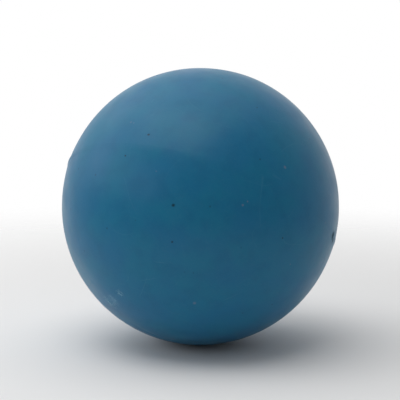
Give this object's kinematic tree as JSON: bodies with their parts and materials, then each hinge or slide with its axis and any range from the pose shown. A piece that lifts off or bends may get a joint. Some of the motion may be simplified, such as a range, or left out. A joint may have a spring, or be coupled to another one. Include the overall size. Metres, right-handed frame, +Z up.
{
  "type": "croquet ball",
  "caption": "Smooth blue croquet ball: a cork-and-rubber core in a moulded cover of cemented half shells, with a faint raised seam.",
  "frame": {"origin": "centre of the ball", "axes": "+Z up with the ball lying as it came to rest, -Y towards the viewer of the front; the pole axis, square to the seam, leans 29 degrees from +Z towards a heading of 55 degrees from +X to +Y"},
  "size_m": [0.092, 0.092, 0.092],
  "materials": {
    "cover": "satin blue, coloured right through, lightly scuffed",
    "seam_stock": "the cover's blue, trimmed and buffed to a low ridge",
    "core_composition": "pressed cork granules in a dark rubber binder",
    "rubber_cement": "dried amber rubber cement"
  },
  "bodies": {
    "root": {"core": "core_composition", "core_cement_coat": "rubber_cement", "lower_cover": "cover", "upper_cover": "cover", "rim_cement": "rubber_cement", "seam_bead": "seam_stock"}
  },
  "joints": []
}
